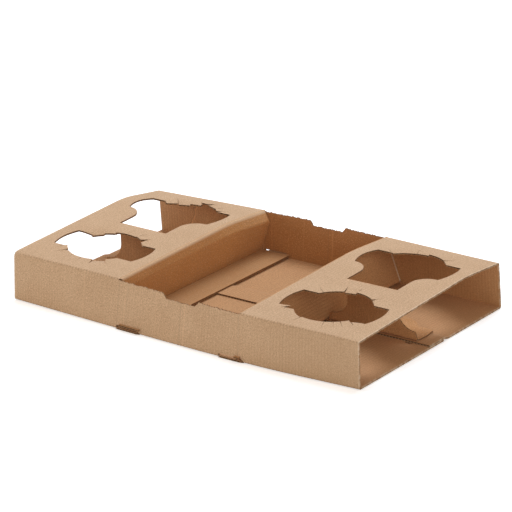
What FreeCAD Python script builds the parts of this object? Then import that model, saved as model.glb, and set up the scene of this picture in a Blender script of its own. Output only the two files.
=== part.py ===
import FreeCAD
import Part
import math
import os

# A cup carrier folded from one sheet of corrugated board.
# The sheet is a flat sleeve, open at its left and right ends, and glued shut in its floor.
# Its top is cut across between the two blocks, and both flaps fold down as the walls of a well.
# Each block holds two cups, with a flap of the rear hole hanging between them as a divider.
# Sizes are in millimetres. X runs along the carrier, Y to the rear and Z up.

# Board and sleeve
board = 1.6
length = 370.0
depth = 216.0
wall_height = 43.4
fold_radius = 2.0
crest_from_rear = 54.0
crest_radius = 70.0

# How the sheet bows, at four stations: left end, left rim, right rim, right end.
# Each fold's distance outwards from the plain section, and the crest's rise above the walls.
front_bottom_bow = (0.3, 5.2, 7.8, 1.8)
front_top_bow = (-2.5, -3.0, 4.4, 2.3)
rear_top_bow = (-4.0, 1.4, 2.0, -0.6)
rear_bottom_bow = (0.0, 2.0, 4.0, 4.9)
crest_rise = (6.4, 4.4, 4.2, 4.8)

# Glued floor
seam_from_front = 105.5
overlap = 21.5
step_run = 6.0

# Well between the blocks
left_block = 119.0
right_block = 119.0
well_rim_drop = 0.8
shoulder_drop = 9.0
shoulder_bulge = 3.0
left_foot_tuck = 4.5
right_foot_tuck = 8.5
right_foot_tuck_rear = 15.5
left_flange = 32.0
right_flange = 13.0
side_clearance = 0.5
rest_gap = 0.2

# Locking slots in the bottom folds, with the floor tabs that the cuts leave
slot_width = 26.0
slot_height = 4.6
slot_chamfer = 4.0
left_slot_offset = 0.0
right_slot_offset = 20.0
floor_tab_reach = 3.5
lock_tab_reach = 4.2
slot_play = 1.0

# Notches in the rims of the walls, where the locking tabs were cut from
notch_offset = 48.0
notch_width = 40.0
notch_depth = 4.5
notch_slope = 4.5

# Cup holes
cup_radius = 33.0
lobe_radius = 46.5
lobe_half_width = 18.0
hole_from_end = 59.0
front_hole_from_front = 53.0
rear_hole_from_rear = 53.0
slit_first_angle = 33.0
slit_step_angle = 19.0
slit_count = 7
slit_reach = 11.0
slit_width = 0.8

# Dividers
hinge_from_front = 108.5
neck_half_width = 25.5
neck_straight = 19.5

# Small cut through the floor beside the seam
peep_from_right = 21.0
peep_width = 8.0
peep_depth = 2.4

# Places that follow from the sizes
crest_y = depth - crest_from_rear
floor_top = 2 * board + rest_gap
well_left = left_block
well_right = length - right_block
stations = (0.0, well_left, well_right, length)
over = 40.0
fine = 0.02


def prism(points, direction):
    """A closed outline of (x, y, z) points, pushed along a direction."""
    corners = [FreeCAD.Vector(*point) for point in points]
    outline = Part.makePolygon(corners + [corners[0]])
    return Part.Face(outline).extrude(FreeCAD.Vector(*direction))


def block(x0, x1, y0, y1, z0, z1):
    """A box between two corners."""
    return Part.makeBox(x1 - x0, y1 - y0, z1 - z0, FreeCAD.Vector(x0, y0, z0))


def rounded(x, points, radii):
    """A closed wire through (y, z) corners at one x, each corner rounded to its radius."""
    corners = [FreeCAD.Vector(x, y, z) for y, z in points]
    starts, middles, ends = [], [], []
    for i, corner in enumerate(corners):
        before = (corners[i - 1] - corner).normalize()
        after = (corners[(i + 1) % len(corners)] - corner).normalize()
        half_angle = before.getAngle(after) / 2
        radius = radii[i]
        starts.append(corner + before * (radius / math.tan(half_angle)))
        ends.append(corner + after * (radius / math.tan(half_angle)))
        inwards = (before + after).normalize()
        middles.append(corner + inwards * (radius / math.sin(half_angle) - radius))
    edges = []
    for i, radius in enumerate(radii):
        if radius > 0:
            edges.append(Part.Arc(starts[i], middles[i], ends[i]).toShape())
        edges.append(Part.LineSegment(ends[i], starts[(i + 1) % len(radii)]).toShape())
    return Part.Wire(edges)


def bow_at(x, values):
    """A bow between its stations, by the cubic that passes through all four."""
    total = 0.0
    for i, value in enumerate(values):
        share = 1.0
        for j, station in enumerate(stations):
            if j != i:
                share *= (x - station) / (stations[i] - station)
        total += value * share
    return total


def sleeve():
    """The glued sleeve, bowed along its length: an outer skin less the room inside it."""
    end = seam_from_front + overlap
    outers, inners = [], []
    for i, x in enumerate(stations):
        front, rear = -front_bottom_bow[i], depth + rear_bottom_bow[i]
        front_rim, rear_rim = -front_top_bow[i], depth + rear_top_bow[i]
        crest = wall_height + crest_rise[i]
        roof = wall_height - board
        outer = [(front, 0), (end, 0), (end, board), (end + step_run, 0), (rear, 0),
                 (rear_rim, wall_height), (crest_y, crest), (front_rim, wall_height)]
        inner = [(front + board, board), (seam_from_front, board), (seam_from_front, 2 * board),
                 (end, 2 * board), (end + step_run, board), (rear - board, board),
                 (rear_rim - board, roof), (crest_y, crest - board), (front_rim + board, roof)]
        folds = (fold_radius, 0, 0, 0, fold_radius, fold_radius, crest_radius, fold_radius)
        creases = (0, 0, 0, 0, 0, 0, 0, crest_radius, 0)
        outers.append(rounded(x, outer, folds))
        inners.append(rounded(x, inner, creases))
    return Part.makeLoft(outers, True).cut(Part.makeLoft(inners, True))


def flat_underside(sheet):
    """Sets a true plane into the lofted front floor panel, which the carrier stands on."""
    border = fold_radius + max(front_bottom_bow)
    end = seam_from_front + overlap
    middle = board / 2
    hollow = block(border, length - border, border, end, -board, middle)
    return sheet.cut(hollow).fuse(block(border, length - border, border, end, 0, middle))


def room(gap):
    """Everything under the top's outer face that stays a gap inside the walls' outer faces."""
    wires = []
    for i, x in enumerate(stations):
        front, rear = gap - front_bottom_bow[i], depth + rear_bottom_bow[i] - gap
        front_rim, rear_rim = gap - front_top_bow[i], depth + rear_top_bow[i] - gap
        crest = wall_height + crest_rise[i]
        wires.append(rounded(x, [(front, 0), (rear, 0), (rear_rim, wall_height), (crest_y, crest),
                                 (front_rim, wall_height)], (0, 0, 0, crest_radius, 0)))
    return Part.makeLoft(wires, True)


def thick_line(points, thickness):
    """Offsets an open line of (x, z) points to the left by a thickness, as a closed outline."""
    normals = []
    for (x0, z0), (x1, z1) in zip(points, points[1:]):
        run = math.hypot(x1 - x0, z1 - z0)
        normals.append((-(z1 - z0) / run, (x1 - x0) / run))
    moved = []
    for i, (x, z) in enumerate(points):
        before = normals[max(i - 1, 0)]
        after = normals[min(i, len(normals) - 1)]
        share = 1 + before[0] * after[0] + before[1] * after[1]
        moved.append((x + thickness * (before[0] + after[0]) / share,
                      z + thickness * (before[1] + after[1]) / share))
    return points + moved[::-1]


def well_wall_line(rim_x, inward, foot_tuck, flange):
    """The well-side face of a flap: rim, shoulder crease, foot crease and free edge."""
    above = max(crest_rise) + board
    lean = shoulder_bulge / shoulder_drop
    foot_x = rim_x - inward * foot_tuck
    return [(rim_x - inward * lean * above, wall_height + above),
            (rim_x + inward * shoulder_bulge, wall_height - shoulder_drop),
            (foot_x, floor_top + board),
            (foot_x + inward * flange, floor_top + board)]


def flap(rim_x, inward, front_tuck, rear_tuck, flange):
    """A flap of the top, folded down as a wall of the well, with its flange on the floor."""
    ends = []
    for y in (-over, depth + over):
        tuck = front_tuck + (rear_tuck - front_tuck) * y / depth
        outline = thick_line(well_wall_line(rim_x, inward, tuck, flange), -inward * board)
        corners = [FreeCAD.Vector(x, y, z) for x, z in outline]
        ends.append(Part.makePolygon(corners + [corners[0]]))
    return Part.makeLoft(ends, True, True).common(room(board + side_clearance))


def between_rims(z, edge, inward):
    """Where a rim's leaning face stands at a height."""
    return edge + inward * shoulder_bulge / shoulder_drop * (wall_height - z)


def well_cut():
    """What is taken out of the top between the two rims, down to the rims of the walls."""
    high = wall_height + over
    cuts = []
    for low in (wall_height - well_rim_drop, wall_height - 2 * board):
        outline = [(between_rims(low, well_left, 1), -over, low),
                   (between_rims(high, well_left, 1), -over, high),
                   (between_rims(high, well_right, -1), -over, high),
                   (between_rims(low, well_right, -1), -over, low)]
        cuts.append(prism(outline, (0, depth + 2 * over, 0)))
    return [cuts[0], cuts[1].common(room(board))]


def rim_notches():
    """The notch in each wall's rim, which the locking tabs were cut from."""
    x0 = well_left + notch_offset
    x1 = x0 + notch_width
    low = wall_height - well_rim_drop - notch_depth
    high = wall_height + over
    outline = [(x0, -over, high), (x0, -over, low + notch_depth), (x0 + notch_slope, -over, low),
               (x1 - notch_slope, -over, low), (x1, -over, low + notch_depth), (x1, -over, high)]
    return prism(outline, (0, depth + 2 * over, 0))


def slot_starts():
    """Where the locking slots begin along the walls."""
    return [well_left + left_slot_offset, well_right - right_slot_offset]


def slot_cut(x0):
    """One locking slot, through the bottom folds of the front and rear walls."""
    x1 = x0 + slot_width
    top = board + slot_height
    outline = [(x0, 0, -over), (x0, 0, top), (x1 - slot_chamfer, 0, top), (x1, 0, board),
               (x1, 0, -over)]
    through = fold_radius + board
    front = prism([(x, y - over, z) for x, y, z in outline], (0, over + through, 0))
    rear = prism([(x, y + depth - through, z) for x, y, z in outline], (0, over + through, 0))
    return front.fuse(rear)


def floor_tabs(x0):
    """The tabs that stay level with the floor where a locking slot was cut."""
    x1 = x0 + slot_width
    through = fold_radius + board
    tabs = []
    for bow, start, way in ((front_bottom_bow, 0, -1), (rear_bottom_bow, depth, 1)):
        fold = start + way * bow_at(x0 + slot_width / 2, bow)
        inside, tip = start - way * through, fold + way * floor_tab_reach
        outline = [(x0, inside, 0), (x0, tip, 0), (x1 - slot_chamfer, tip, 0), (x1, fold, 0), (x1, inside, 0)]
        tabs.append(prism(outline, (0, 0, board)))
    return tabs[0].fuse(tabs[1])


def lock_tab(x0, flange_low, flange_high, rear):
    """The tab at one end of a flange, which reaches out through a locking slot, if it meets one."""
    a = max(x0, flange_low) + slot_play
    b = min(x0 + slot_width - slot_chamfer, flange_high) - slot_play
    if b <= a:
        return []
    root = board + side_clearance
    tip = root - lock_tab_reach
    if rear:
        wall_y = depth + bow_at((a + b) / 2, rear_bottom_bow)
        return [block(a, b, wall_y - root - board, wall_y - tip, floor_top, floor_top + board)]
    wall_y = -bow_at((a + b) / 2, front_bottom_bow)
    return [block(a, b, wall_y + tip, wall_y + root + board, floor_top, floor_top + board)]


def arc(start, middle, end):
    """An arc edge through three (x, y) points."""
    return Part.Arc(*[FreeCAD.Vector(x, y, 0) for x, y in (start, middle, end)]).toShape()


def straight(start, end):
    """A straight edge between two (x, y) points."""
    return Part.LineSegment(FreeCAD.Vector(start[0], start[1], 0),
                            FreeCAD.Vector(end[0], end[1], 0)).toShape()


def cup_outline():
    """The outline of a front hole about its own centre: a round cup seat with a lobe each side."""
    w = lobe_half_width
    seat = math.sqrt(cup_radius ** 2 - w ** 2)
    lobe = math.sqrt(lobe_radius ** 2 - w ** 2)
    edges = [arc((seat, w), (0, cup_radius), (-seat, w)), straight((-seat, w), (-lobe, w)),
             arc((-lobe, w), (-lobe_radius, 0), (-lobe, -w)), straight((-lobe, -w), (-seat, -w)),
             arc((-seat, -w), (0, -cup_radius), (seat, -w)), straight((seat, -w), (lobe, -w)),
             arc((lobe, -w), (lobe_radius, 0), (lobe, w)), straight((lobe, w), (seat, w))]
    return Part.Face(Part.Wire(edges))


def divider_outline():
    """The outline of a rear hole about its own centre, which is also the divider's outline."""
    w = lobe_half_width
    seat = math.sqrt(cup_radius ** 2 - w ** 2)
    lobe = math.sqrt(lobe_radius ** 2 - w ** 2)
    hinge = hinge_from_front - (depth - rear_hole_from_rear)
    turn = hinge + neck_straight
    n = neck_half_width
    bend_x = lobe - (lobe - n) * math.cos(math.radians(45))
    bend_y = turn + (-w - turn) * math.sin(math.radians(45))
    edges = [arc((seat, w), (0, cup_radius), (-seat, w)), straight((-seat, w), (-lobe, w)),
             arc((-lobe, w), (-lobe_radius, 0), (-lobe, -w)),
             arc((-lobe, -w), (-bend_x, bend_y), (-n, turn)), straight((-n, turn), (-n, hinge)),
             straight((-n, hinge), (n, hinge)), straight((n, hinge), (n, turn)),
             arc((n, turn), (bend_x, bend_y), (lobe, -w)),
             arc((lobe, -w), (lobe_radius, 0), (lobe, w)), straight((lobe, w), (seat, w))]
    return Part.Face(Part.Wire(edges))


def slits(sides):
    """Radial cuts about a cup seat, which part its rim into petals that give."""
    cuts = []
    for side in sides:
        for i in range(slit_count):
            angle = side * (slit_first_angle + i * slit_step_angle)
            cut = block(cup_radius - slit_width * 4, cup_radius + slit_reach,
                        -slit_width / 2, slit_width / 2, 0, over)
            cut.rotate(FreeCAD.Vector(0, 0, 0), FreeCAD.Vector(0, 0, 1), angle)
            cuts.append(cut)
    return cuts


def holes(centre_x):
    """The front and rear holes of one block, with their slits."""
    low = wall_height - 3 * board
    front = [cup_outline().extrude(FreeCAD.Vector(0, 0, over))] + slits((1, -1))
    rear = [divider_outline().extrude(FreeCAD.Vector(0, 0, over))] + slits((1,))
    for cut in front:
        cut.translate(FreeCAD.Vector(centre_x, front_hole_from_front, low))
    for cut in rear:
        cut.translate(FreeCAD.Vector(centre_x, depth - rear_hole_from_rear, low))
    return front + rear


def divider(centre_x):
    """The flap of a rear hole, folded down on its hinge, with its foot on the floor."""
    hinge_top = wall_height + bow_at(centre_x, crest_rise) * hinge_from_front / crest_y
    flat = divider_outline().extrude(FreeCAD.Vector(0, 0, board))
    flat.translate(FreeCAD.Vector(centre_x, depth - rear_hole_from_rear, hinge_top - board))
    drop = hinge_top - floor_top
    hang = flat.common(block(0, length, 0, hinge_from_front + drop, 0, hinge_top + board))
    hang.rotate(FreeCAD.Vector(0, hinge_from_front, hinge_top), FreeCAD.Vector(1, 0, 0), -90)
    foot = flat.common(block(0, length, hinge_from_front + drop - board, depth, 0, hinge_top + board))
    foot.translate(FreeCAD.Vector(0, -drop, -(hinge_top - board) + floor_top))
    return hang.fuse(foot).common(room(board))


def peep_hole():
    """A small cut through the front floor panel, at the seam inside the right block."""
    x1 = length - peep_from_right + peep_width / 2
    return block(x1 - peep_width, x1, seam_from_front - peep_depth, seam_from_front, -board, 2 * board)


def carrier():
    """The whole folded sheet as one solid, about the middle of its underside."""
    sheet = flat_underside(sleeve())
    sheet = sheet.cut(well_cut() + [rim_notches(), peep_hole()])
    sheet = sheet.cut([slot_cut(x0) for x0 in slot_starts()])
    for centre_x in (hole_from_end, length - hole_from_end):
        sheet = sheet.cut(holes(centre_x))
    left_start, right_start = slot_starts()
    left_foot = well_left - left_foot_tuck
    front_foot = well_right + right_foot_tuck
    rear_foot = well_right + right_foot_tuck_rear
    added = [flap(well_left, 1, left_foot_tuck, left_foot_tuck, left_flange),
             flap(well_right, -1, right_foot_tuck, right_foot_tuck_rear, right_flange),
             floor_tabs(left_start), floor_tabs(right_start),
             divider(hole_from_end), divider(length - hole_from_end)]
    added += lock_tab(left_start, left_foot, left_foot + left_flange, False)
    added += lock_tab(left_start, left_foot, left_foot + left_flange, True)
    added += lock_tab(right_start, front_foot - right_flange, front_foot, False)
    added += lock_tab(right_start, rear_foot - right_flange, rear_foot, True)
    sheet = sheet.fuse(added).removeSplitter()
    across = [point.y for point in sheet.tessellate(fine)[0]]
    print("front and rear reach", min(across), max(across))
    sheet.translate(FreeCAD.Vector(-length / 2, -(min(across) + max(across)) / 2, 0))
    return sheet


os.makedirs("parts", exist_ok=True)
solid = carrier()
print("solids", len(solid.Solids), "valid", solid.isValid(), "volume", round(solid.Volume))
solid.exportStep("parts/folded_carrier.step")
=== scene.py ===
import bpy
import bmesh
import math
import random
import numpy as np
from mathutils import Matrix, Vector


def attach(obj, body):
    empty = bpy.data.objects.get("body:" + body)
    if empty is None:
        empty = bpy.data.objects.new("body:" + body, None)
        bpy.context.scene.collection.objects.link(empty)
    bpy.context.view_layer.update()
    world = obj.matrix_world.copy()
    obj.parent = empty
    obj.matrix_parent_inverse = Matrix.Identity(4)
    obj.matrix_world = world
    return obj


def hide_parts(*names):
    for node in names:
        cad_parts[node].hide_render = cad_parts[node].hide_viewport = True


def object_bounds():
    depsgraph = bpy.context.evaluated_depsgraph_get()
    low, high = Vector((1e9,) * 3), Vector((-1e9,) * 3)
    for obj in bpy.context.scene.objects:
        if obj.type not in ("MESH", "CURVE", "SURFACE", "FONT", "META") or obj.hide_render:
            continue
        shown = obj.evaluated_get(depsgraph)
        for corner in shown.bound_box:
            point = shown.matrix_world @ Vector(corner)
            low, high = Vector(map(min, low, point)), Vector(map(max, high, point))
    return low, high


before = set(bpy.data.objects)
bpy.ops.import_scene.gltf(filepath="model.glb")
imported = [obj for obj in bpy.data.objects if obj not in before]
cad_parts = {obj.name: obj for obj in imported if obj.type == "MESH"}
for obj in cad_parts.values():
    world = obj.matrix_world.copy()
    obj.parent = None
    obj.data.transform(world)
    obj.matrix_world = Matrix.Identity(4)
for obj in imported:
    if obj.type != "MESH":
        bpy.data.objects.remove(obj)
cadLow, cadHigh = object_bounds()
print("frame loaded")

mm = 0.001
length = (cadHigh.x - cadLow.x) / mm
random.seed(11)

# The blank is laid out flat in millimetres: u runs along the carrier, v round the sleeve.
# v is 0 at the front top fold and equals y across the top, and w is the height above mid-board.
board = {
    "thickness": 1.6,
    "liner": 0.24,
    "medium": 0.2,
    "bite": 0.01,           # how far the fluting sinks into each liner
    "flutes": 119,
    "firstWave": 0.125,     # where the waves start, in pitches
    "crestFlatness": 1.45,  # above 1, the waves are flattened where they meet the liners
    "foldReach": 1.35,      # half of the width that a fold bends over
    "foldSamples": 6,
    "endSoft": 2.2,         # the front fold is rounder at the left end
    "endSoftReach": 9.0,
    "kerf": 0.3,
    "dieHalf": 4.0,
    "clearance": 0.2,       # under a part that lies on the floor panels
    "sharpAngle": 35,
}
sleeve = {
    "depth": 216.0,
    "wall": 43.4,
    "crest": 162.0,
    "crestSoft": 12.0,
    "frontPanelEnd": 127.0,
    "stepStart": 134.0,
    "stepEnd": 127.5,
    "seam": 105.5,
    "overlapGap": 0.05,
    "besideFold": 0.01,
    "frontReach": 11.35,    # how far the solid's front tabs stand out before the front wall
    # how the sheet has bowed: (x, y) or (x, z) along the carrier
    "frontBottomY": ((0, -0.3), (43, -2.1), (112, -5.0), (157, -6.5), (222, -7.8), (274, -7.6),
                     (370, -1.8)),
    "frontTopY": ((0, 2.5), (51, 3.0), (122, 3.0), (190, 0.0), (263, -4.4), (342, -2.3), (370, -2.3)),
    "frontTopZ": ((0, 44.3), (119, 43.4), (251, 43.2), (370, 42.8)),
    "crestZ": ((0, 49.8), (60, 49.0), (119, 47.6), (251, 47.4), (310, 47.8), (370, 48.0)),
    "rearTopZ": ((0, 41.6), (119, 43.4), (251, 43.6), (370, 43.8)),
    "rearTopY": ((0, 212.0), (120, 217.4), (162, 220.0), (251, 218.0), (370, 215.4)),
    "rearBottomY": ((0, 216.0), (120, 218.0), (251, 220.0), (370, 220.9)),
}
well = {
    "left": 119.0,
    "right": 251.0,
    "middleCut": 195.0,
    "middleHalf": 0.3,
    "shoulder": 9.5,
    "shoulderDrop": 9.0,
    "leftShoulderOut": ((0, 0.6), (100, 1.0), (160, 2.6), (216, 5.0)),
    "rightShoulderOut": -5.0,
    "leftFoot": 44.0,
    "leftFootX": (114.5, 114.5),
    "rightFoot": 42.5,
    "rightFootX": (259.5, 266.5),
    "flange": 40.0,
    "flapGap": 2.1,
    "leftTab": (171.5, 193.6),
    "rightTab": (197.0, 202.5),
    "tabTip": -2.1,
    "tabSlope": 0.4,
    "tabMargin": (0.6, 0.2),
    "wallMargin": 1.0,
    "rimDrop": 0.8,
    "rimTear": (-0.8, 0.4),
    "rimPoints": 190,
    "rimEndPoints": 5,
    "rimTaper": 2.5,
    "rimTipHalf": 0.15,
    "notch": (167.0, 207.0),
    "notchDepth": 4.5,
    "notchSlope": 4.5,
}
slots = {
    "starts": (119.0, 231.0),
    "width": 26.0,
    "reach": (2.4, 4.8),    # up the front wall, up the rear wall
    "chamfer": 3.0,
    "chamferRise": 0.6,
    "tabShare": 0.65,       # the tabs sag back under the wall
    "sidePoints": 6,
}
cup = {
    "radius": 33.0,
    "lobeRadius": 46.5,
    "lobeHalf": 18.0,
    "seatPoints": 40,
    "lobePoints": 16,
    "slitInside": 1.5,
    "slitReach": 11.0,
    "slitTipHalf": 0.1,
    "petalCurve": 1.5,
    "petalMost": 1.3,
    "petalEdge": 3.0,       # no petal lifts this near to the front and rear folds
    "hinge": 107.7,
    "neckHalf": 25.5,
    "neckStraight": 19.5,
    "neckPoints": 9,
    "hang": 43.4,
    "lean": 1.0,
    "footMarks": (0, 22, 30, 60),   # past the fold: on the rear panel, down its step, and on
}
peep = {"u": 349, "half": 4, "height": 2.3, "offSeam": 0.2, "points": 12}
# Each hole: its centre, its open slits as (angle, angle at the end, width) and its bent petals
holes = {
    "leftFront": {
        "centre": (59.0, 54.5),
        "rear": False,
        "slits": ((33, 33, 0.5), (52, 53, 1.6), (71, 70, 1.4), (90, 90, 0.3), (-147, -145, 1.8),
                  (-128, -131, 1.8), (-109, -109, 0.4), (-90, -90, 0.4), (-52, -52, 0.8),
                  (-71, -71, 0.8)),
        "petals": {(-71, -52): -1.6, (109, 128): -1.2, (128, 147): -2.4, (147, 156): -1.2,
                   (52, 71): 1.0, (33, 52): -1.0, (-147, -128): 1.4},
    },
    "rightFront": {
        "centre": (310.7, 50.8),
        "rear": False,
        "slits": ((52, 54, 1.4), (90, 92, 1.6), (109, 109, 0.8), (140, 140, 0.4), (-33, -35, 1.6),
                  (-47, -47, 0.4), (-57, -57, 0.4), (-70, -70, 0.4), (-109, -107, 1.0),
                  (-147, -149, 3.4)),
        "petals": {(-168, -147): 1.6, (-147, -109): -1.2, (90, 109): -1.0, (52, 90): 0.8,
                   (-33, -14): -1.8},
    },
    "leftRear": {
        "centre": (61.5, 163.0),
        "rear": True,
        "slits": ((33, 34, 1.6), (52, 54, 1.6), (74, 75, 1.6), (90, 90, 0.8), (109, 109, 0.8),
                  (128, 128, 0.8), (147, 147, 0.8)),
        "petals": {(90, 109): -2.0, (109, 128): -3.6, (128, 147): -2.4, (33, 52): 0.8, (74, 90): 1.2},
    },
    "rightRear": {
        "centre": (310.7, 161.5),
        "rear": True,
        "slits": ((33, 33, 0.4), (90, 90, 1.0), (147, 146, 0.9), (52, 52, 0.4), (109, 109, 0.4)),
        "petals": {(90, 147): -0.8, (52, 90): 0.6},
    },
}
# How finely the flat sheets are divided, with rows round each fold at these shares of its reach
grids = {
    "liner": (110, 120),
    "linerFolds": (-1.2, -0.8, -0.4, 0, 0.4, 0.8, 1.2),
    "columnsPerFlute": 4,
    "flutingRows": 6,
    "flutingFolds": (-1, -0.5, 0, 0.5, 1),
    "petalRows": (8, 210, 4.5),
    "hingeClear": 8,
    "tolerance": 0.0005,
}
half = board["thickness"] / 2
depth, wall = sleeve["depth"], sleeve["wall"]
reach = board["foldReach"]
blankLow = -wall - sleeve["frontPanelEnd"]
blankHigh = depth + wall + depth - sleeve["seam"]
middleY = -sleeve["frontReach"] - cadLow.y / mm
seatAngle = math.degrees(math.asin(cup["lobeHalf"] / cup["radius"]))
lobeAngle = math.degrees(math.asin(cup["lobeHalf"] / cup["lobeRadius"]))


# A smooth curve through a few (x, value) points
def easeThrough(x, points):
    xs, ys = np.array(points, float).T
    slopes = np.gradient(ys, xs)
    i = np.clip(np.searchsorted(xs, x) - 1, 0, len(xs) - 2)
    span = xs[i + 1] - xs[i]
    t = np.clip((x - xs[i]) / span, 0, 1)
    return (ys[i] * (1 + 2 * t) * (1 - t) ** 2 + ys[i + 1] * t * t * (3 - 2 * t)
            + span * (slopes[i] * t * (1 - t) ** 2 - slopes[i + 1] * t * t * (1 - t)))


# Straight stretches through marks, where each value may differ from point to point
def along(d, marks, values):
    out = values[0] + (values[1] - values[0]) * (d - marks[0]) / (marks[1] - marks[0])
    for k in range(1, len(marks) - 1):
        step = values[k] + (values[k + 1] - values[k]) * (d - marks[k]) / (marks[k + 1] - marks[k])
        out = np.where(d > marks[k], step, out)
    return out


# The mid-board point of the top panel, which is crested towards its rear
def topPoint(u, v):
    frontZ = easeThrough(u, sleeve["frontTopZ"]) - half
    crestZ = easeThrough(u, sleeve["crestZ"]) - half
    rearZ = easeThrough(u, sleeve["rearTopZ"]) - half
    frontY = easeThrough(u, sleeve["frontTopY"]) + half
    rearY = easeThrough(u, sleeve["rearTopY"]) - half
    y = frontY + (rearY - frontY) * (v - half) / (depth - 2 * half)
    crest, soft = sleeve["crest"], sleeve["crestSoft"]
    z = along(v, (0, crest, depth), (frontZ, crestZ, rearZ))
    turn = (crestZ - frontZ) / crest + (crestZ - rearZ) / (depth - crest)
    z = z - turn * np.clip(soft - np.abs(v - crest), 0, None) ** 2 / (4 * soft)
    return np.stack([u, y, z], -1)


# The mid-board y of the front and rear walls at a height
def wallY(u, z):
    share = (z - half) / (wall - 2 * half)
    frontLow, frontHigh = (easeThrough(u, sleeve[key]) for key in ("frontBottomY", "frontTopY"))
    rearLow, rearHigh = (easeThrough(u, sleeve[key]) for key in ("rearBottomY", "rearTopY"))
    front = frontLow * (1 - share) + frontHigh * share
    rear = rearLow * (1 - share) + rearHigh * share
    return front + half, rear - half


# The mid-board point of the sleeve: floor, front wall, top, rear wall, floor
def sleevePoint(u, v):
    top = topPoint(u, np.clip(v, 0, depth))
    startY, endY = wallY(u, half + 0 * u)
    frontTop, rearTop = topPoint(u, 0 * u), topPoint(u, 0 * u + depth)
    upper = 2 * board["thickness"] - half + sleeve["overlapGap"]
    farEnd = 2 * depth + wall
    marks = (blankLow, -wall, 0, depth, depth + wall, farEnd - sleeve["stepStart"],
             farEnd - sleeve["stepEnd"], blankHigh)
    ys = (sleeve["frontPanelEnd"] + 0 * u, startY, frontTop[..., 1], rearTop[..., 1], endY,
          sleeve["stepStart"] + 0 * u, sleeve["stepEnd"] + 0 * u, sleeve["seam"] + 0 * u)
    zs = (half + 0 * u, half + 0 * u, frontTop[..., 2], rearTop[..., 2], half + 0 * u,
          half + 0 * u, upper + 0 * u, upper + 0 * u)
    y, z = along(v, marks, ys), along(v, marks, zs)
    onTop = (v > 0) & (v < depth)
    return np.where(onTop[..., None], top, np.stack([u, y, z], -1))


# Like the sleeve, but a wall runs straight up past its rim, with no top panel
def freeWallPoint(u, v):
    front = sleevePoint(u, np.minimum(v, -sleeve["besideFold"]))
    rear = sleevePoint(u, np.maximum(v, depth + sleeve["besideFold"]))
    out = np.where((v < depth / 2)[..., None], front, rear)
    over = np.where(v < depth / 2, np.maximum(v, 0), np.maximum(depth - v, 0))
    out[..., 2] += over
    return out


# A flap of the top: over the rim, down past the shoulder to the foot and out as a flange
def flapPoint(u, v, side):
    left = side == "left"
    sign = 1 if left else -1
    rimU = well[side]
    d = sign * (u - rimU)
    rim = topPoint(0 * u + rimU, v)
    onBlock = topPoint(u, v)
    floorZ = 2 * board["thickness"] + board["clearance"] + half
    nearX, farX = well[side + "FootX"]
    footX = nearX + (farX - nearX) * v / depth
    out = easeThrough(v, well["leftShoulderOut"]) if left else well["rightShoulderOut"]
    foot, flange = well[side + "Foot"], well["flange"]
    marks = (0, well["shoulder"], foot, foot + flange)
    xs = (rim[..., 0], rim[..., 0] + sign * out, footX, footX + sign * flange)
    zs = (rim[..., 2], rim[..., 2] - well["shoulderDrop"], floorZ + 0 * u, floorZ + 0 * u)
    x, z = along(d, marks, xs), along(d, marks, zs)
    front, rear = wallY(x, z)
    y = front + (rear - front) * (v - half) / (depth - 2 * half)
    y = np.where(d < 0, rim[..., 1], y)
    return np.where((d < 0)[..., None], onBlock, np.stack([x, y, z], -1))


# The flap of a rear hole: over its hinge, down to the floor and out as a foot
def dividerPoint(u, v):
    d = v - cup["hinge"]
    hinge = topPoint(u, 0 * u + cup["hinge"])
    onTop = topPoint(u, v)
    low = 2 * board["thickness"] + board["clearance"] + half
    lower = low - board["thickness"]
    marks = (0, *(cup["hang"] + mark for mark in cup["footMarks"]))
    ys = (hinge[..., 1], *(hinge[..., 1] + cup["lean"] + mark for mark in cup["footMarks"]))
    zs = (hinge[..., 2], low + 0 * u, low + 0 * u, lower + 0 * u, lower + 0 * u)
    y, z = along(d, marks, ys), along(d, marks, zs)
    return np.where((d < 0)[..., None], onTop, np.stack([u, y, z], -1))


# The floor carried straight on under a wall, where a locking slot was cut
def floorTabPoint(u, v):
    startY, endY = wallY(u, half + 0 * u)
    front = v < depth / 2
    past = np.where(front, v + wall, depth + wall - v)
    reachOut = np.clip(past, 0, None) * slots["tabShare"] + np.clip(past, None, 0)
    y = np.where(front, startY - reachOut, endY + reachOut)
    return np.stack([u, y, half + 0 * u], -1)


# Points of an arc, with its angles in degrees
def arcPoints(centre, radius, start, end, count):
    angles = np.radians(np.linspace(start, end, count))
    return [(centre[0] + radius * math.cos(a), centre[1] + radius * math.sin(a)) for a in angles]


def seatArc(centre, turn):
    return arcPoints(centre, cup["radius"], turn + seatAngle, turn + 180 - seatAngle, cup["seatPoints"])


def lobeArc(centre, turn):
    return arcPoints(centre, cup["lobeRadius"], turn - lobeAngle, turn + lobeAngle, cup["lobePoints"])


# A round cup seat with a lobe at each side
def cupOutline(centre):
    return seatArc(centre, 0) + lobeArc(centre, 180) + seatArc(centre, 180) + lobeArc(centre, 0)


# A rear hole from one end of its hinge, round its seat and lobes, to the other
def dividerOutline(centre):
    tip = cup["lobeRadius"] * math.cos(math.radians(lobeAngle))
    base = cup["hinge"] - reach - centre[1]
    turn = cup["hinge"] + cup["neckStraight"] - centre[1]
    neck = cup["neckHalf"]
    curve = [(tip - (tip - neck) * math.cos(a), turn + (-cup["lobeHalf"] - turn) * math.sin(a))
             for a in np.linspace(0, math.pi / 2, cup["neckPoints"])]
    right = [(neck, base)] + curve
    left = [(-x, y) for x, y in reversed(right)]
    around = lobeArc((0, 0), 0)[1:] + seatArc((0, 0), 0) + lobeArc((0, 0), 180)[:-1]
    return [(centre[0] + x, centre[1] + y) for x, y in right + around + left]


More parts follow.
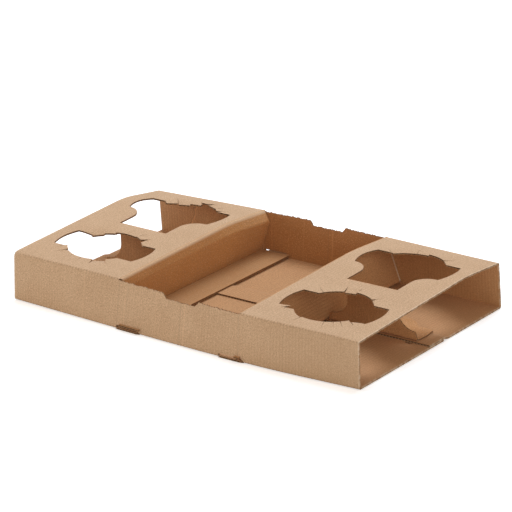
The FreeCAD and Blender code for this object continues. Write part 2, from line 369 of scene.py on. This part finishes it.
# A thin closed outline that follows an open line of points
def ribbon(points, width):
    p = np.array(points, float)
    t = np.gradient(p, axis=0)
    t /= np.linalg.norm(t, axis=1)[:, None]
    n = np.stack([-t[:, 1], t[:, 0]], 1) * width / 2
    return [tuple(q) for q in np.vstack([p + n, (p - n)[::-1]])]


# A torn perforation from the cup seat outwards, widest at the seat
def slit(centre, start, end, width):
    inner, outer = cup["radius"] - cup["slitInside"], cup["radius"] + cup["slitReach"]
    a, b = math.radians(start), math.radians(end)
    side, tip = width / 2 / inner, cup["slitTipHalf"] / outer
    corners = ((inner, a - side), (outer, b - tip), (outer, b + tip), (inner, a + side))
    return [(centre[0] + r * math.cos(t), centre[1] + r * math.sin(t)) for r, t in corners]


# What is cut away between a wall's torn rim and the flaps, leaving their locking tabs
def rimStrip(rear):
    a, b = well["left"] - reach, well["right"] + reach
    n0, n1 = well["notch"]
    slope, taper, tipHalf = well["notchSlope"], well["rimTaper"], well["rimTipHalf"]
    count, ends = well["rimPoints"], well["rimEndPoints"]
    rim = [(a, -tipHalf), (a + taper, -well["rimDrop"])]
    for i in range(ends, count - ends + 1):
        u = a + (b - a) * i / count
        cutIn = min(max((u - n0) / slope, 0), 1) * min(max((n1 - u) / slope, 0), 1)
        v = -well["rimDrop"] - well["notchDepth"] * cutIn * cutIn * (3 - 2 * cutIn)
        rim.append((u, v + random.uniform(*well["rimTear"])))
    rim += [(b - taper, -well["rimDrop"]), (b, -tipHalf)]
    gap, tip, tabSlope = well["flapGap"], well["tabTip"], well["tabSlope"]
    inner = [(b, tipHalf), (b - taper, gap)]
    for t0, t1 in (well["rightTab"], well["leftTab"]):
        inner += [(t1 + tabSlope, gap), (t1, tip), (t0, tip), (t0 - tabSlope, gap)]
    inner += [(a + taper, gap), (a, tipHalf)]
    outline = rim + inner
    return [(u, depth - v) for u, v in outline][::-1] if rear else outline


# Three sides of a floor tab, from past the bottom fold up into the wall and back
def slotOutline(start, rear):
    end = start + slots["width"]
    low, high = -wall - reach, -wall + slots["reach"][rear]
    line = [(start, low), (start, high), (end - slots["chamfer"], high),
            (end, -wall + slots["chamferRise"]), (end, low)]
    dense = []
    for (x0, y0), (x1, y1) in zip(line, line[1:]):
        shares = np.linspace(0, 1, slots["sidePoints"])[:-1]
        dense += [(x0 + (x1 - x0) * t, y0 + (y1 - y0) * t) for t in shares]
    dense.append(line[-1])
    return [(u, depth - v) for u, v in dense] if rear else dense


# A half-moon in the front floor panel beside the seam
def peepOutline():
    v = -wall - sleeve["seam"] + peep["offSeam"]
    return [(peep["u"] - peep["half"] * math.cos(a), v + peep["height"] * math.sin(a))
            for a in np.linspace(0, math.pi, peep["points"])]


# The cut that parts the two flaps of the top, but not the walls
def middleOutline():
    left, right = well["middleCut"] - well["middleHalf"], well["middleCut"] + well["middleHalf"]
    low, high = -well["notchDepth"] - well["rimDrop"], depth + well["notchDepth"] + well["rimDrop"]
    return [(left, low), (right, low), (right, high), (left, high)]


def asObject(bm, name):
    mesh = bpy.data.meshes.new(name)
    bm.to_mesh(mesh)
    bm.free()
    obj = bpy.data.objects.new(name, mesh)
    bpy.context.scene.collection.objects.link(obj)
    return obj


# Closed outlines pushed through the board, as one cutter
def prismObject(name, outlines):
    bm = bmesh.new()
    for outline in outlines:
        face = bm.faces.new([bm.verts.new((u, v, -board["dieHalf"])) for u, v in outline])
        pushed = bmesh.ops.extrude_face_region(bm, geom=[face], use_keep_orig=True)
        bmesh.ops.translate(bm, vec=(0, 0, 2 * board["dieHalf"]),
                            verts=[g for g in pushed["geom"] if isinstance(g, bmesh.types.BMVert)])
    bmesh.ops.recalc_face_normals(bm, faces=bm.faces[:])
    return asObject(bm, name)


# The die, in groups that don't overlap: rims, lines that part flaps and tabs, holes, slits
def makeCutters():
    rims = [rimStrip(False), rimStrip(True), peepOutline()]
    lines = [middleOutline()]
    for start in slots["starts"]:
        for rear in (False, True):
            lines.append(ribbon(slotOutline(start, rear), board["kerf"]))
    seats, slits = [], []
    for hole in holes.values():
        if hole["rear"]:
            seats.append(ribbon(dividerOutline(hole["centre"]), board["kerf"]))
        else:
            seats.append(cupOutline(hole["centre"]))
        slits += [slit(hole["centre"], *s) for s in hole["slits"]]
    return [prismObject("cutter%d" % i, group) for i, group in enumerate((rims, lines, seats, slits))]


# The blank's v of each fold along the carrier
def foldRows():
    farEnd = 2 * depth + wall
    return [-wall, 0, depth, depth + wall, farEnd - sleeve["stepStart"], farEnd - sleeve["stepEnd"],
            cup["hinge"], cup["hinge"] + cup["hang"]]


# The blank's u of each fold across the carrier
def foldColumns():
    left, right = well["left"], well["right"]
    return [left, left + well["shoulder"], left + well["leftFoot"],
            right, right - well["shoulder"], right - well["rightFoot"]]


# A flat grid over the blank, with extra rows and columns at the folds
def flatGrid(columns, rows, foldLinesU, foldLinesV, shares, extraRows=()):
    bm = bmesh.new()
    bmesh.ops.create_grid(bm, x_segments=columns, y_segments=rows, size=0.5)
    bmesh.ops.scale(bm, vec=(length, blankHigh - blankLow, 1), verts=bm.verts[:])
    bmesh.ops.translate(bm, vec=(length / 2, (blankLow + blankHigh) / 2, 0), verts=bm.verts[:])
    lines = [((0, v + reach * s, 0), (0, 1, 0)) for v in foldLinesV for s in shares]
    lines += [((0, v, 0), (0, 1, 0)) for v in extraRows]
    lines += [((u + reach * s, 0, 0), (1, 0, 0)) for u in foldLinesU for s in shares]
    for place, normal in lines:
        bmesh.ops.bisect_plane(bm, geom=bm.verts[:] + bm.edges[:] + bm.faces[:],
                               dist=grids["tolerance"], plane_co=place, plane_no=normal)
    return bm


# One paper liner of the board, flat
def flatLiner(name, low):
    columns, rows = grids["liner"]
    bm = flatGrid(columns, rows, foldColumns(), foldRows(), grids["linerFolds"])
    bmesh.ops.solidify(bm, geom=bm.faces[:], thickness=board["liner"])
    floor = min(v.co.z for v in bm.verts)
    bmesh.ops.translate(bm, vec=(0, 0, low - floor), verts=bm.verts[:])
    bmesh.ops.recalc_face_normals(bm, faces=bm.faces[:])
    return asObject(bm, name)


# The fluted paper between the liners, flat, with its waves across the blank's length
def flatMedium(name):
    petalRows = [v for v in np.arange(*grids["petalRows"])
                 if abs(v - cup["hinge"]) > grids["hingeClear"]]
    columns = board["flutes"] * grids["columnsPerFlute"]
    bm = flatGrid(columns, grids["flutingRows"], (), foldRows(), grids["flutingFolds"], petalRows)
    pitch = length / board["flutes"]
    height = half - board["liner"] - board["medium"] / 2 + board["bite"]
    for vert in bm.verts:
        turns = (vert.co.x + pitch * board["firstWave"]) / pitch
        wave = board["crestFlatness"] * math.sin(2 * math.pi * turns)
        vert.co.z = height * max(-1, min(1, wave))
    bmesh.ops.solidify(bm, geom=bm.faces[:], thickness=board["medium"])
    middle = (min(v.co.z for v in bm.verts) + max(v.co.z for v in bm.verts)) / 2
    bmesh.ops.translate(bm, vec=(0, 0, -middle), verts=bm.verts[:])
    bmesh.ops.recalc_face_normals(bm, faces=bm.faces[:])
    return asObject(bm, name)


# Cuts the flat piece, leaves only triangles and drops the empty slots that the cuts bring
def applyCuts(obj, cutters):
    for cutter in cutters:
        cut = obj.modifiers.new("cut", "BOOLEAN")
        cut.operation = "DIFFERENCE"
        cut.solver = "MANIFOLD"
        cut.object = cutter
    graph = bpy.context.evaluated_depsgraph_get()
    mesh = bpy.data.meshes.new_from_object(obj.evaluated_get(graph))
    obj.modifiers.clear()
    obj.data = mesh
    bm = bmesh.new()
    bm.from_mesh(mesh)
    bmesh.ops.triangulate(bm, faces=bm.faces[:])
    for face in bm.faces:
        face.material_index = 0
    bm.to_mesh(mesh)
    bm.free()
    mesh.materials.clear()


# Which points lie inside a closed outline
def insideOutline(u, v, outline):
    p = np.array(outline)
    q = np.roll(p, -1, axis=0)
    found = np.zeros(len(u), bool)
    for (x0, y0), (x1, y1) in zip(p, q):
        crosses = (y0 > v) != (y1 > v)
        if y0 != y1:
            found ^= crosses & (u < (x1 - x0) * (v - y0) / (y1 - y0) + x0)
    return found


# Names the part of the sheet that each point belongs to
def sortParts(u, v):
    part = np.full(len(u), "sleeve", dtype="<U12")
    inWell = (u > well["left"] - reach) & (u < well["right"] + reach)
    onFlap = inWell & (v > well["flapGap"] / 2) & (v < depth - well["flapGap"] / 2)
    side, past = well["tabMargin"]
    tip = well["tabTip"] - past
    for t0, t1 in (well["leftTab"], well["rightTab"]):
        onFlap |= (u > t0 - side) & (u < t1 + side) & (v > tip) & (v < depth - tip)
    for middle in (-wall / 2, depth + wall / 2):
        part[inWell & (np.abs(v - middle) < wall / 2 + well["wallMargin"])] = "wall"
    part[onFlap & (u < well["middleCut"])] = "left"
    part[onFlap & (u >= well["middleCut"])] = "right"
    for hole in holes.values():
        if hole["rear"]:
            inHole = insideOutline(u, v, dividerOutline(hole["centre"]))
            part[inHole & (v > cup["hinge"] - reach)] = "divider"
    for start in slots["starts"]:
        for rear in (False, True):
            part[insideOutline(u, v, slotOutline(start, rear))] = "tab"
    return part


# How far the torn petals round the cup seats stand up or hang down
def petalLift(u, v):
    lift = np.zeros(len(u))
    outer = cup["radius"] + cup["slitReach"]
    for hole in holes.values():
        dx, dy = u - hole["centre"][0], v - hole["centre"][1]
        r, angle = np.hypot(dx, dy), np.degrees(np.arctan2(dy, dx))
        near = np.clip((outer - r) / cup["slitReach"], 0, cup["petalMost"]) ** cup["petalCurve"]
        for (start, end), bend in hole["petals"].items():
            lift += np.where((angle > start) & (angle < end), bend * near, 0)
    return lift


shapes = {
    "sleeve": sleevePoint,
    "wall": freeWallPoint,
    "left": lambda u, v: flapPoint(u, v, "left"),
    "right": lambda u, v: flapPoint(u, v, "right"),
    "divider": dividerPoint,
    "tab": floorTabPoint,
}


# Folds flat (u, v, w) points up into the carrier, each fold being an average over its reach
def foldPoints(flat, part):
    folded = np.zeros_like(flat)
    samples = board["foldSamples"]
    steps = reach * (np.arange(samples) + 0.5 - samples / 2) / (samples / 2)
    across = steps[::2] + reach / samples
    for name, shape in shapes.items():
        chosen = part == name
        if not chosen.any():
            continue
        u, v, w = flat[chosen].T
        fromEnd, fromFold = np.clip(u, 0, None) / board["endSoftReach"], v / board["endSoftReach"]
        fade = np.exp(-fromEnd) * np.exp(-fromFold ** 2)
        soft = 1 + board["endSoft"] * fade
        middle = sum(shape(u + a, v + b * soft) for a in across for b in steps)
        middle /= len(across) * len(steps)
        uWay = sum(shape(u + reach, v + b) - shape(u - reach, v + b) for b in steps[::2])
        vWay = sum(shape(u + a, v + reach * soft) - shape(u + a, v - reach * soft) for a in steps[::2])
        normal = np.cross(uWay, vWay)
        normal /= np.linalg.norm(normal, axis=1)[:, None]
        placed = middle + normal * w[:, None]
        if name == "sleeve":
            onTop = (v > cup["petalEdge"]) & (v < depth - cup["petalEdge"])
            placed[:, 2] += np.where(onTop, petalLift(u, v), 0)
        folded[chosen] = placed
    return folded


# Each layer's paper: the parts listed for it lie in the shade of the well, and their colour is
# multiplied by a darker, more saturated tint that paints that shade
outerLiner = {
    "material": "kraft_liner",
    "colour": (0.61, 0.392, 0.224),
    "fluteShadeMark": 0.34,
    "paintedShadeTint": (0.95, 0.69, 0.37),
    "paintedShadeParts": ("left", "right", "divider"),
}
innerLiner = {
    "material": "kraft_inner_liner",
    "colour": (0.57, 0.30, 0.13),
    "fluteShadeMark": 0.5,
    "paintedShadeTint": (0.84, 0.72, 0.58),
    "paintedShadeParts": ("wall",),
}
boardFluting = {
    "material": "kraft_fluting",
    "colour": (0.27, 0.145, 0.065),
    "fluteShadeMark": 0.0,
    "paintedShadeTint": (1.0, 1.0, 1.0),
    "paintedShadeParts": ("tab",),
}


# Writes the blank's own coordinates as a UV map, then folds the mesh into place
def foldObject(obj, paintedShadeParts):
    mesh = obj.data
    flat = np.zeros(len(mesh.vertices) * 3, np.float32)
    mesh.vertices.foreach_get("co", flat)
    flat = flat.reshape(-1, 3).astype(float)
    corners = np.zeros(len(mesh.loops), np.int32)
    mesh.loops.foreach_get("vertex_index", corners)
    layer = mesh.uv_layers.new(name="blank")
    layer.data.foreach_set("uv", (flat[corners, :2] * mm).astype(np.float32).ravel())
    part = sortParts(flat[:, 0], flat[:, 1])
    folded = foldPoints(flat, part) - np.array([length / 2, middleY, 0])
    # Marks the parts whose colour takes the painted shade of the well
    paintedShade = mesh.attributes.new("paintedShade", "FLOAT", "POINT")
    paintedShade.data.foreach_set("value", np.isin(part, paintedShadeParts).astype(np.float32))
    mesh.vertices.foreach_set("co", (folded * mm).astype(np.float32).ravel())
    mesh.shade_smooth()
    mesh.set_sharp_from_angle(angle=math.radians(board["sharpAngle"]))
    mesh.update()


cutters = makeCutters()
outer = flatLiner("outer_liner", half - board["liner"])
inner = flatLiner("inner_liner", -half)
fluting = flatMedium("board_fluting")
layers = ((outer, outerLiner), (inner, innerLiner), (fluting, boardFluting))
print("flat sheets made")
for piece, layer in layers:
    applyCuts(piece, cutters)
    foldObject(piece, layer["paintedShadeParts"])
    print("cut and folded", piece.name, len(piece.data.polygons), "triangles")
for cutter in cutters:
    bpy.data.objects.remove(cutter)

# Noises on the blank: stretch along u and v per mm, detail, roughness and shift
noises = {
    "cloud": ((0.022, 0.03), 3, 0.6, 0.0),
    "grain": ((0.8, 0.55), 4, 0.75, 7.0),
    "streak": ((1.1, 0.05), 2, 0.6, 21.0),
    "fine": ((0.95, 0.8), 2, 0.75, 43.0),
    "patch": ((0.012, 0.02), 2, 0.5, 31.0),
    "worn": ((0.25, 0.25), 2, 0.5, 57.0),
    "bend": ((0.06, 0.06), 2, 0.5, 5.0),
}
noiseWay = (1.0, 0.7, 0.3)
# Dark and pale fibres: stretch, size, share left out, strength, colour and shift
fibres = (
    ((0.22, 0.75), 0.11, 0.62, 0.55, (0.16, 0.085, 0.035), 3.0),
    ((0.55, 0.2), 0.09, 0.7, 0.45, (0.2, 0.11, 0.05), 11.0),
    ((0.3, 0.9), 0.1, 0.66, 0.4, (0.86, 0.72, 0.54), 17.0),
)
# Each ramp: from, to, and what it gives at each end where that isn't 0 and 1
paper = {
    "pale": (0.76, 0.60, 0.42),
    "lightTint": (1.12, 1.16, 1.22),
    "darkTint": (0.78, 0.71, 0.63),
    "cloudRamp": (0.25, 0.75, 0.45, 0.75),
    "grainRamp": (0.38, 0.62, 0.0, 0.35),
    "streakRamp": (0.45, 0.75, 0.0, 0.42),
    "fleckCore": 0.4,
    "speckRamp": (0.33, 0.5, 0.8, 0.0),
    "speckShade": 0.86,
    "gleamRamp": (0.52, 0.7, 0.0, 0.65),
    "gleamShade": 1.2,
    "patchRamp": (0.35, 0.65),
    "fluteRamp": (-0.2, 1.0),
    "wornRamp": (0.4, 0.6, 0.1, 0.55),
    "wornEnd": (1.6, 0.5),
    "crushWidth": (1.1, 0.2),
    "crushRamp": (0.0, 0.9, 0.08, 0.42),
    "crushShade": 0.55,
    "creaseWander": 2.0,
    "creaseCore": 0.3,
    "roughRamp": (0.3, 0.7, 0.72, 0.92),
    "specular": 0.42,
    "sheen": 0.08,
    "relief": {"grain": 0.35, "flutes": -0.5, "streak": 0.25, "dots": -1.6},
    "bumpStrength": 0.6,
    "bumpDistance": 0.00016,
}
# Painted shade and highlight lines along creases across the sheet, as (u, half width, strength, shade):
# a shade under 1 paints shade, over 1 a highlight, and 0 a pale highlight along the left rim. The last
# wall line is a broad darker band over the right end, and the flap line at 179 paints shade over the
# flanges
wallCreaseShading = (
    (80.0, 0.8, 0.18, 1.3), (119.0, 0.7, 0.4, 0.7), (126.5, 0.8, 0.2, 1.3), (129.0, 0.6, 0.3, 0.7),
    (161.0, 0.8, 0.2, 1.25), (192.5, 1.0, 0.22, 1.4), (188.0, 0.9, 0.3, 0.6), (251.0, 0.9, 0.35, 0.7),
    (296.0, 0.6, 0.35, 0.7), (335.0, 84.0, 0.3, 0.82),
)
flapCreaseShading = (
    (163.0, 1.5, 0.9, 0.25), (119.5, 2.2, 0.45, 0), (179.0, 26.0, 0.5, 0.5), (168.0, 0.7, 0.25, 0.75),
    (180.5, 0.7, 0.25, 0.75),
)
# Painted shade and highlight of a wrinkle down the rear wall inside the left block, a dark line beside
# a pale one: its lines as (u, half width, strength, shade)
wrinkleShading = {
    "lean": 0.26,
    "bend": 14.0,
    "core": 0.2,
    "fade": (2, 5),
    "lines": ((30.0, 0.9, 0.55, 0.5), (31.6, 1.1, 0.5, 1.4)),
}
tornEdge = {"fromRear": 3.0, "ramp": (1.3, 0.5, 0.0, 0.8), "middle": 228.0, "reach": 22.0}


def putInput(tree, socket, value):
    if isinstance(value, bpy.types.NodeSocket):
        tree.links.new(value, socket)
    else:
        socket.default_value = value


def mathNode(tree, operation, a, b=0.0):
    node = tree.nodes.new("ShaderNodeMath")
    node.operation = operation
    putInput(tree, node.inputs[0], a)
    putInput(tree, node.inputs[1], b)
    return node.outputs[0]


# Short calls for building one material's node tree on the blank's coordinates in mm
class Nodes:
    def __init__(self, name):
        self.material = bpy.data.materials.new(name)
        self.material.use_nodes = True
        self.tree = self.material.node_tree
        self.shader = self.tree.nodes["Principled BSDF"]
        self.flat = self.tree.nodes.new("ShaderNodeUVMap")
        self.flat.uv_map = "blank"
        split = self.tree.nodes.new("ShaderNodeSeparateXYZ")
        scaled = self.vector("MULTIPLY", self.flat.outputs[0], (1 / mm, 1 / mm, 0))
        self.tree.links.new(scaled, split.inputs[0])
        self.u, self.v = split.outputs[0], split.outputs[1]

    def put(self, socket, value):
        putInput(self.tree, socket, value)

    def math(self, operation, a, b=0.0):
        return mathNode(self.tree, operation, a, b)

    def times(self, a, b):
        return self.math("MULTIPLY", a, b)

    def away(self, a, b):
        return self.math("ABSOLUTE", self.math("SUBTRACT", a, b))

    def vector(self, operation, a, b):
        node = self.tree.nodes.new("ShaderNodeVectorMath")
        node.operation = operation
        self.put(node.inputs[0], a)
        self.put(node.inputs[1], b)
        return node.outputs[0]

    def ramp(self, value, low, high, outLow=0.0, outHigh=1.0):
        node = self.tree.nodes.new("ShaderNodeMapRange")
        node.interpolation_type = "SMOOTHSTEP"
        for i, x in enumerate((value, low, high, outLow, outHigh)):
            self.put(node.inputs[i], x)
        return node.outputs[0]

    def spread(self, stretch, shift):
        scaled = self.vector("MULTIPLY", self.flat.outputs[0], (stretch[0] / mm, stretch[1] / mm, 0))
        return self.vector("ADD", scaled, shift)

    def noise(self, name):
        stretch, detail, roughness, shift = noises[name]
        node = self.tree.nodes.new("ShaderNodeTexNoise")
        node.inputs["Scale"].default_value = 1.0
        node.inputs["Detail"].default_value = detail
        node.inputs["Roughness"].default_value = roughness
        self.put(node.inputs["Vector"], self.spread(stretch, shaded(noiseWay, shift)))
        return node.outputs[0]

    def cells(self, stretch, shift):
        node = self.tree.nodes.new("ShaderNodeTexVoronoi")
        node.inputs["Scale"].default_value = 1.0
        self.put(node.inputs["Vector"], self.spread(stretch, (shift, shift, shift)))
        return node.outputs["Distance"], node.outputs["Color"]

    def mix(self, factor, a, b, blend="MIX"):
        node = self.tree.nodes.new("ShaderNodeMix")
        node.data_type = "RGBA"
        node.blend_type = blend
        self.put(node.inputs[0], factor)
        self.put(node.inputs[6], a if isinstance(a, bpy.types.NodeSocket) else (*a, 1))
        self.put(node.inputs[7], b if isinstance(b, bpy.types.NodeSocket) else (*b, 1))
        return node.outputs[2]


def tinted(colour, tint):
    return tuple(c * t for c, t in zip(colour, tint))


def shaded(colour, share):
    return tuple(c * share for c in colour)


# Cloudy, fibrous and specked paper, with painted shade multiplied in on the parts in the shade of the
# well
def paperTone(n, layer, cloud, grain, streak, onPaintedShade):
    light, dark = (tinted(layer["colour"], paper[key]) for key in ("lightTint", "darkTint"))
    tone = n.mix(n.ramp(cloud, *paper["cloudRamp"]), dark, light)
    tone = n.mix(n.ramp(grain, *paper["grainRamp"]), tone, dark)
    tone = n.mix(n.ramp(streak, *paper["streakRamp"]), tone, light)
    # Painted shade: the parts in the shade of the well are multiplied by a darker, more saturated tint
    tone = n.mix(onPaintedShade, tone, layer["paintedShadeTint"], "MULTIPLY")
    for stretch, size, leftOut, strength, colour, shift in fibres:
        distance, cell = n.cells(stretch, shift)
        spot = n.ramp(distance, size, size * paper["fleckCore"])
        fleck = n.times(spot, n.math("GREATER_THAN", cell, leftOut))
        tone = n.mix(n.times(fleck, strength), tone, colour)
    fine = n.noise("fine")
    tone = n.mix(n.ramp(fine, *paper["speckRamp"]), tone, shaded(dark, paper["speckShade"]))
    return n.mix(n.ramp(fine, *paper["gleamRamp"]), tone, shaded(light, paper["gleamShade"]))


# Painted shade and highlight along creases where the sheet bends: on the walls and floor of every
# layer, on the outer flaps
def creaseShadingTone(n, layer, tone, cloud, onPaintedShade):
    offTop = n.math("LESS_THAN", n.times(n.v, n.math("SUBTRACT", depth, n.v)), 0.0)
    wander = n.math("ADD", n.u, n.times(n.math("SUBTRACT", cloud, 0.5), paper["creaseWander"]))
    marks = [(wander, offTop, layer["colour"], crease) for crease in wallCreaseShading]
    if layer is outerLiner:
        flapColour = tinted(layer["colour"], layer["paintedShadeTint"])
        marks += [(n.u, onPaintedShade, flapColour, crease) for crease in flapCreaseShading]
    # Each line paints shade where its shade is under 1, a highlight where it is over 1, and the pale
    # highlight where it is 0
    for path, here, colour, (u, width, strength, shade) in marks:
        line = n.ramp(n.away(path, u), width, width * paper["creaseCore"], 0.0, strength)
        tone = n.mix(n.times(line, here), tone, shaded(colour, shade) if shade else paper["pale"])
    return tone


# Painted shade and highlight of the wrinkle in the left block's rear wall, and the torn rear edge of
# the right end wall
def wrinkleShadingAndTornEdge(n, layer, tone):
    down = n.math("SUBTRACT", depth + wall, n.v)
    bend = n.times(n.math("SUBTRACT", n.noise("bend"), 0.5), wrinkleShading["bend"])
    path = n.math("ADD", n.math("SUBTRACT", n.u, n.times(down, wrinkleShading["lean"])), bend)
    onRear = n.ramp(down, *(wall - inset for inset in wrinkleShading["fade"]))
    # Painted shade and highlight of the wrinkle: a dark line and a pale one
    for at, width, strength, shade in wrinkleShading["lines"]:
        line = n.ramp(n.away(path, at), width, wrinkleShading["core"], 0.0, strength)
        tone = n.mix(n.times(line, onRear), tone, shaded(layer["colour"], shade))
    edge = n.ramp(n.away(n.v, depth - tornEdge["fromRear"]), *tornEdge["ramp"])
    span = n.math("LESS_THAN", n.away(n.u, tornEdge["middle"]), tornEdge["reach"])
    return n.mix(n.times(edge, span), tone, paper["pale"])


# How much the flutes are crushed near the folds along the carrier, which sets where their dents are
# painted as dots of shade
def crushedFolds(n):
    crush = 0.0
    for v in (0.0, depth, -wall, depth + wall):
        crush = n.math("MAXIMUM", crush, n.ramp(n.away(n.v, v), *paper["crushWidth"]))
    return crush


# Unprinted kraft paper, with the flutes showing through as bumps and as painted shade in the liner's
# dips, scuffed ends, and crushed folds whose dents are painted as dots of shade
def kraftMaterial(layer):
    n = Nodes(layer["material"])
    dark = tinted(layer["colour"], paper["darkTint"])
    cloud, grain, streak = n.noise("cloud"), n.noise("grain"), n.noise("streak")
    # Which points lie in the shade of the well and take painted shade
    paintedShade = n.tree.nodes.new("ShaderNodeAttribute")
    paintedShade.attribute_name = "paintedShade"
    onPaintedShade = paintedShade.outputs["Fac"]
    tone = paperTone(n, layer, cloud, grain, streak, onPaintedShade)
    tone = creaseShadingTone(n, layer, tone, cloud, onPaintedShade)
    if layer is innerLiner:
        tone = wrinkleShadingAndTornEdge(n, layer, tone)
    ends = n.ramp(n.away(n.u, length / 2), *(length / 2 - inset for inset in paper["wornEnd"]))
    worn = n.ramp(n.noise("worn"), *paper["wornRamp"])
    tone = n.mix(n.times(ends, worn), tone, paper["pale"])
    # Dark stripes at the flute pitch: painted shade of the liner's dips between the flutes; the same
    # stripes also go into the bump
    wave = n.math("SINE", n.times(n.u, 2 * math.pi * board["flutes"] / length))
    patch = n.ramp(n.noise("patch"), *paper["patchRamp"])
    flutes = n.times(n.ramp(wave, *paper["fluteRamp"]), patch)
    tone = n.mix(n.times(flutes, layer["fluteShadeMark"]), tone, dark)
    # Painted shade: dark dots at each flute along the folds, for the dents of the crushed flutes; the
    # same dots also go into the bump
    dots = n.times(crushedFolds(n), n.ramp(wave, *paper["crushRamp"]))
    tone = n.mix(dots, tone, shaded(dark, paper["crushShade"]))
    n.put(n.shader.inputs["Base Color"], tone)
    n.put(n.shader.inputs["Roughness"], n.ramp(grain, *paper["roughRamp"]))
    n.shader.inputs["Specular IOR Level"].default_value = paper["specular"]
    n.shader.inputs["Sheen Weight"].default_value = paper["sheen"]
    height = n.times(grain, paper["relief"]["grain"])
    for name, part in (("flutes", flutes), ("streak", streak), ("dots", dots)):
        height = n.math("ADD", height, n.times(part, paper["relief"][name]))
    bump = n.tree.nodes.new("ShaderNodeBump")
    bump.inputs["Strength"].default_value = paper["bumpStrength"]
    bump.inputs["Distance"].default_value = paper["bumpDistance"]
    n.put(bump.inputs["Height"], height)
    n.put(n.shader.inputs["Normal"], bump.outputs[0])
    return n.material


for piece, layer in layers:
    piece.data.materials.append(kraftMaterial(layer))
for piece in (outer, inner, fluting):
    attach(piece, "root")
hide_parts("folded_carrier")
print("materials made")

studio = {
    "azimuth": 36.124,
    "elevation": 20.265,
    "roll": -0.9025,
    "lens": 200.16,
    "sensor": 36,
    "clip": (0.05, 50),
    "cameraPlace": (1.3809, -1.8870, 0.9093),
    "floorHalf": 6.0,
    "floorDrop": 0.0004,
    "floorColour": (0.95, 0.95, 0.95, 1),
    "floorRoughness": 0.9,
    "floorGlow": 0.5,
    "worldColour": (1, 0.93, 0.83, 1),
    "worldStrength": 0.36,
}
# Disk lamps aimed at the origin: place, size in metres, power and colour
lamps = {
    "overhead": ((-0.25, 0.7, 1.9), 1.3, 26, (0.9, 1.0, 1.16)),
    "lowLeft": ((-1.9, -1.0, 0.45), 0.9, 11, (1, 1, 1)),
    "lowRight": ((2.2, -1.6, 0.8), 3.2, 26, (1, 0.96, 0.9)),
}


def makeCamera():
    a, e, r = (math.radians(studio[k]) for k in ("azimuth", "elevation", "roll"))
    forward = Vector((-math.sin(a) * math.cos(e), math.cos(a) * math.cos(e), -math.sin(e)))
    right = forward.cross(Vector((0, 0, 1))).normalized()
    up = right.cross(forward)
    right, up = math.cos(r) * right + math.sin(r) * up, -math.sin(r) * right + math.cos(r) * up
    data = bpy.data.cameras.new("camera")
    data.lens = studio["lens"]
    data.sensor_width = studio["sensor"]
    data.clip_start, data.clip_end = studio["clip"]
    camera = bpy.data.objects.new("camera", data)
    bpy.context.scene.collection.objects.link(camera)
    turn = Matrix((right, up, -forward)).transposed().to_4x4()
    camera.matrix_world = Matrix.Translation(studio["cameraPlace"]) @ turn
    bpy.context.scene.camera = camera


# A pale floor that glows a little to the camera alone, so that it comes out white
def makeFloor():
    bm = bmesh.new()
    bmesh.ops.create_grid(bm, x_segments=1, y_segments=1, size=studio["floorHalf"])
    bmesh.ops.translate(bm, vec=(0, 0, -studio["floorDrop"]), verts=bm.verts[:])
    floor = asObject(bm, "floor")
    material = bpy.data.materials.new("pale_floor")
    material.use_nodes = True
    tree = material.node_tree
    shader = tree.nodes["Principled BSDF"]
    shader.inputs["Base Color"].default_value = studio["floorColour"]
    shader.inputs["Roughness"].default_value = studio["floorRoughness"]
    shader.inputs["Specular IOR Level"].default_value = 0.0
    shader.inputs["Emission Color"].default_value = (1, 1, 1, 1)
    eye = tree.nodes.new("ShaderNodeLightPath").outputs["Is Camera Ray"]
    glow = mathNode(tree, "MULTIPLY", eye, studio["floorGlow"])
    tree.links.new(glow, shader.inputs["Emission Strength"])
    floor.data.materials.append(material)


# Soft warm light from all round, seen as white by the camera and in reflections
def makeWorld():
    world = bpy.data.worlds.new("studio")
    bpy.context.scene.world = world
    world.use_nodes = True
    tree = world.node_tree
    soft = tree.nodes["Background"]
    soft.inputs["Color"].default_value = studio["worldColour"]
    soft.inputs["Strength"].default_value = studio["worldStrength"]
    seen = tree.nodes.new("ShaderNodeBackground")
    seen.inputs["Color"].default_value = (1, 1, 1, 1)
    path = tree.nodes.new("ShaderNodeLightPath").outputs
    direct = mathNode(tree, "MAXIMUM", path["Is Camera Ray"], path["Is Glossy Ray"])
    white = mathNode(tree, "MAXIMUM", direct, path["Is Transmission Ray"])
    mix = tree.nodes.new("ShaderNodeMixShader")
    for socket, value in zip(mix.inputs, (white, soft.outputs[0], seen.outputs[0])):
        tree.links.new(value, socket)
    tree.links.new(mix.outputs[0], tree.nodes["World Output"].inputs["Surface"])


def makeLamps():
    for name, (place, size, power, colour) in lamps.items():
        data = bpy.data.lights.new(name, "AREA")
        data.shape = "DISK"
        data.size = size
        data.energy = power
        data.color = colour
        lamp = bpy.data.objects.new(name, data)
        bpy.context.scene.collection.objects.link(lamp)
        lamp.location = place
        lamp.rotation_mode = "QUATERNION"
        lamp.rotation_quaternion = (-Vector(place)).to_track_quat("-Z", "Y")


makeCamera()
makeFloor()
makeWorld()
makeLamps()
bpy.context.scene.view_settings.view_transform = "Standard"
